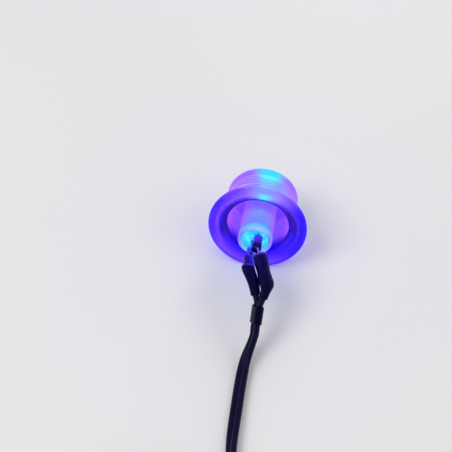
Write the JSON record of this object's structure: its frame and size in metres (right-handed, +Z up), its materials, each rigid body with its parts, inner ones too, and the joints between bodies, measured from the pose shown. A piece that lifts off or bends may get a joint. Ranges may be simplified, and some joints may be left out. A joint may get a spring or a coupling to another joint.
{
  "type": "through hole led",
  "caption": "Round clear-bezel LED light with its leads, series resistor, shrink sleeves and a flat two-wire lead, laid on its side.",
  "frame": {"origin": "on the surface it lies on, under the middle of the light and its sleeved leads, without the free lead", "axes": "+Z up, +Y the way the light shines, -Y the way the lead leaves, +X to the right seen from the lead"},
  "size_m": [0.0375, 0.1022, 0.0225],
  "materials": {
    "bezel_plastic": "clear moulded plastic, polished, glowing lavender where the LED lights it",
    "led_epoxy": "clear cast epoxy, lit cyan",
    "lead_metal": "tinned steel, satin",
    "chip": "lit semiconductor",
    "bond_gold": "fine gold wire",
    "solder": "bright solder",
    "shrink_sleeve": "black shrunk tubing, satin",
    "thin_sleeve": "thin dark blue tubing",
    "resistor_paint": "pale blue lacquer with colour rings",
    "wire_insulation": "black flexible insulation, half gloss",
    "strand_copper": "fine copper strands",
    "tinned_copper": "tinned strands"
  },
  "bodies": {
    "root": {"housing": "bezel_plastic", "led_lens": "led_epoxy", "cathode_lead": "lead_metal", "anode_lead": "lead_metal", "led_chip": "chip", "bond_wire": "bond_gold", "anode_sleeve": "thin_sleeve", "anode_joint": "solder", "resistor_lead_in": "lead_metal", "resistor_body": "resistor_paint", "resistor_lead_out": "lead_metal", "resistor_joint": "solder", "resistor_sleeve": "shrink_sleeve", "positive_strands": "strand_copper", "positive_wire": "wire_insulation", "cathode_joint": "solder", "negative_strands": "strand_copper", "negative_wire": "wire_insulation", "cathode_sleeve": "shrink_sleeve", "gather_sleeve": "shrink_sleeve", "cable": "wire_insulation", "cable_coil": "wire_insulation", "positive_tinned_end": "tinned_copper", "negative_tinned_end": "tinned_copper"}
  },
  "joints": []
}
